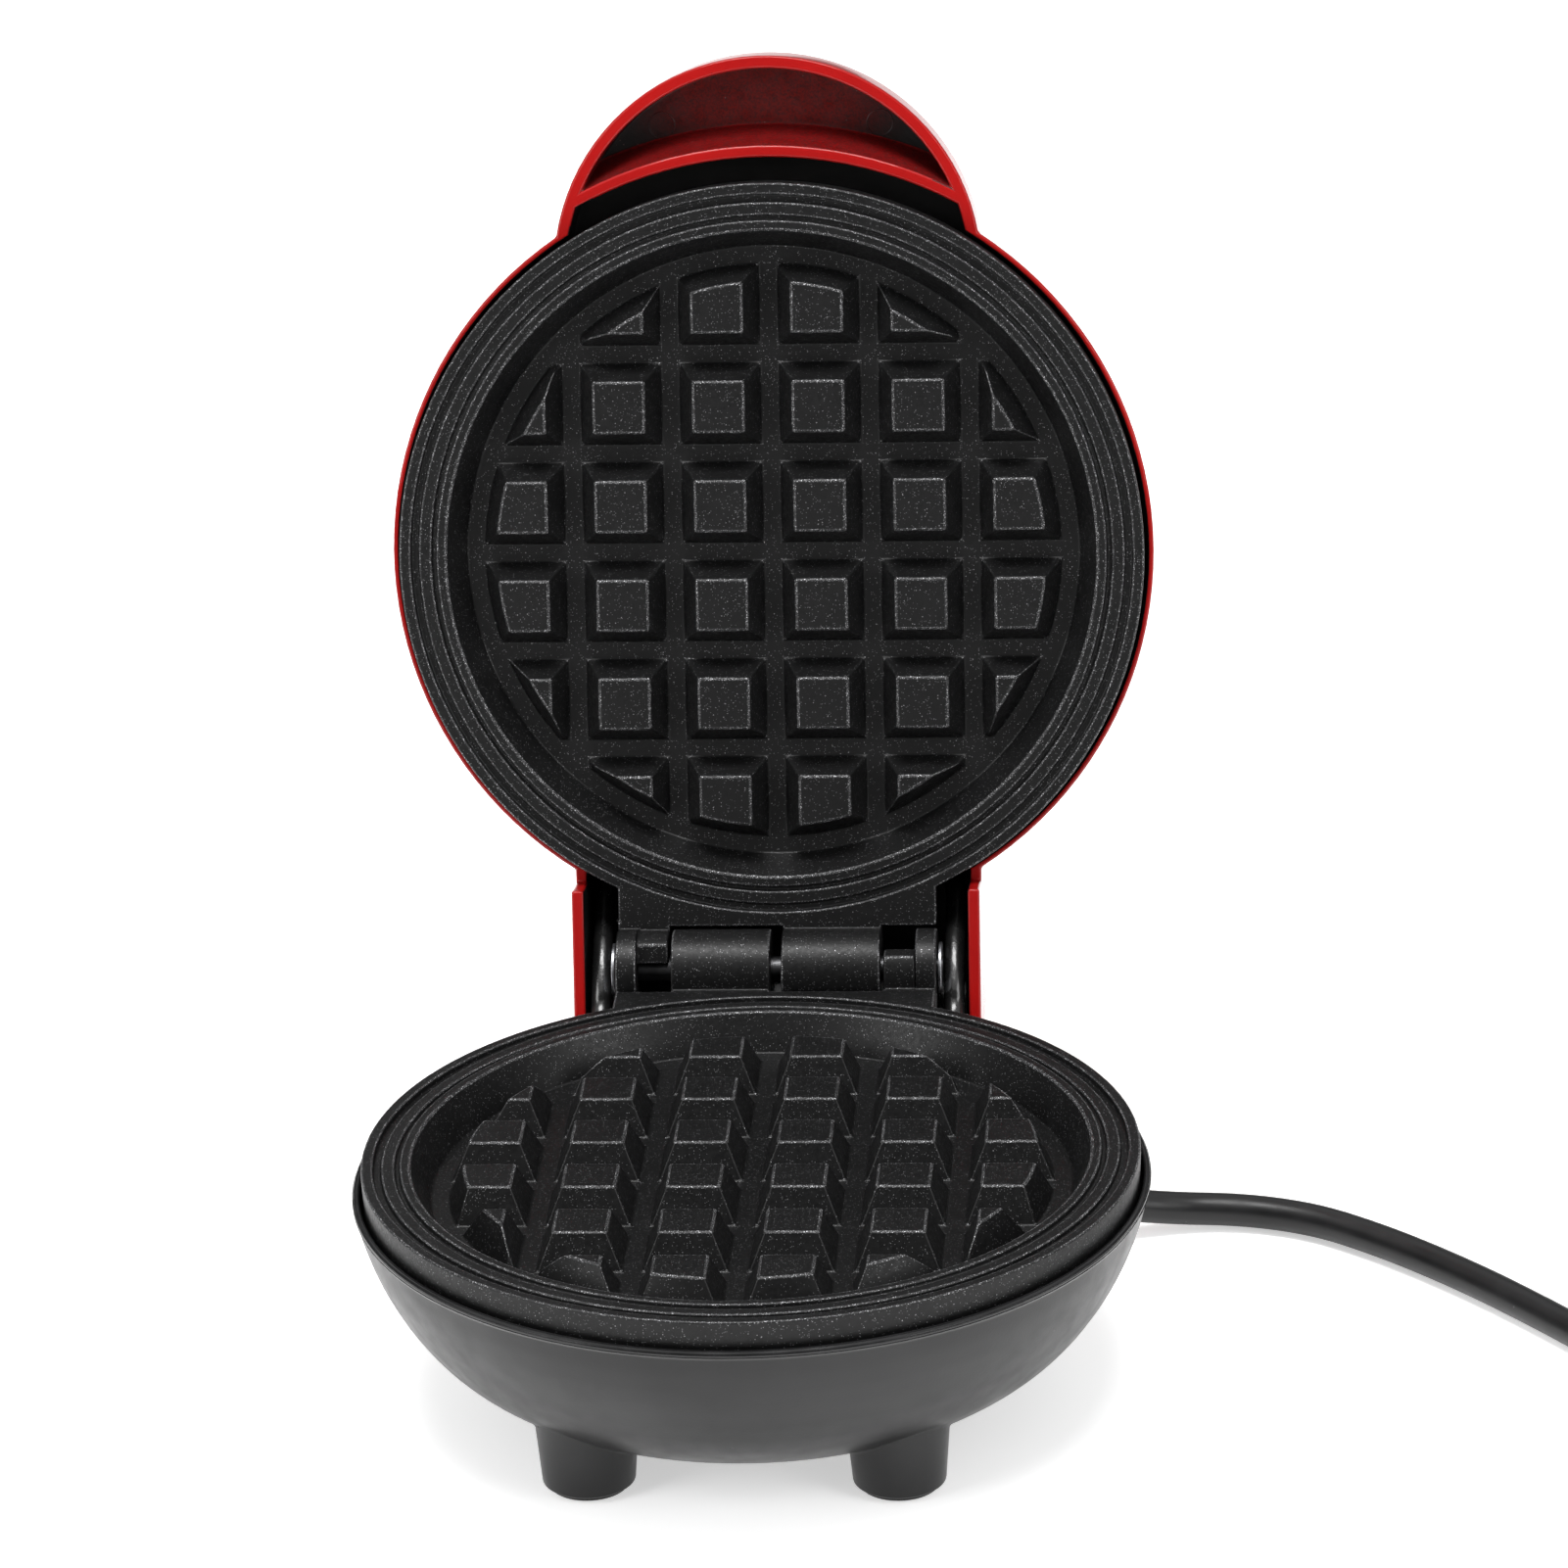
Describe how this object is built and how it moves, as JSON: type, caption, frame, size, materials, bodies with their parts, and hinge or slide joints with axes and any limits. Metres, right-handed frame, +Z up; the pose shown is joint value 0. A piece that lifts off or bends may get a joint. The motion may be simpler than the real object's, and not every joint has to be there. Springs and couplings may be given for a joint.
{
  "type": "waffle maker",
  "caption": "Small round electric waffle maker, standing open: hinged red lid with crescent handle, black non-stick grid plates, dark bowl base on feet, mains cord.",
  "frame": {"origin": "bottom centre of the open appliance's box, on the table, measured without the cord and plug", "axes": "+Z up, -Y towards the user (the side the lid opens from), +X to the user's right along the hinge pin"},
  "size_m": [0.2913, 0.1862, 0.1887],
  "materials": {
    "base_plastic": "satin moulded, near black",
    "lid_plastic": "gloss red coat over black plastic",
    "nonstick": "die-cast, black non-stick coating with a fine sparkle",
    "heater_steel": "drawn sheath, heat tinted",
    "shield_aluminium": "mill finish sheet",
    "ceramic": "unglazed steatite",
    "screw_steel": "zinc plated",
    "pin_steel": "ground bright",
    "thermostat_steel": "pressed cap on a phenolic body",
    "fuse_brass": "bright",
    "foot_rubber": "matt, non-slip",
    "cord_rubber": "satin PVC sheath",
    "wire_silicone": "glass-braided silicone insulation",
    "sleeve_silicone": "glossy silicone tube",
    "lens": "clear red",
    "lamp_glass": "small neon bulb"
  },
  "bodies": {
    "base": {"base_shell": "base_plastic", "foot_pads": "foot_rubber", "lower_plate": "nonstick", "lower_heater": "heater_steel", "lower_heater_seals": "ceramic", "lower_heat_shield": "shield_aluminium", "base_screws": "screw_steel", "thermostat": "thermostat_steel", "thermostat_strap": "screw_steel", "thermal_fuse": "fuse_brass", "terminal_block": "ceramic", "terminal_screws": "fuse_brass", "cord_clamp": "base_plastic", "clamp_screws": "screw_steel", "strain_relief": "cord_rubber", "inner_lead": "cord_rubber", "base_wiring": "wire_silicone", "hinge_sleeves_base": "sleeve_silicone", "hinge_pin": "pin_steel", "hinge_clips": "screw_steel", "power_cord": "cord_rubber", "cord_tail": "cord_rubber", "cord_coil": "cord_rubber", "plug_relief": "cord_rubber", "plug_body": "cord_rubber", "plug_pins": "fuse_brass"},
    "lid": {"upper_plate": "nonstick", "upper_heater": "heater_steel", "upper_heater_seals": "ceramic", "upper_heat_shield": "shield_aluminium", "lid_shell": "lid_plastic", "lid_screws": "screw_steel", "lid_screw_caps": "lid_plastic", "hinge_sleeves_lid": "sleeve_silicone", "lid_wiring": "wire_silicone", "indicator_lens": "lens", "neon_lamp": "lamp_glass"}
  },
  "joints": [
    {"name": "lid_hinge", "type": "hinge", "parent": "base", "child": "lid", "pos_m": [0, 0.03961, 0.042], "axis": [1, 0, 0], "range_deg": [0, 102.7]}
  ]
}
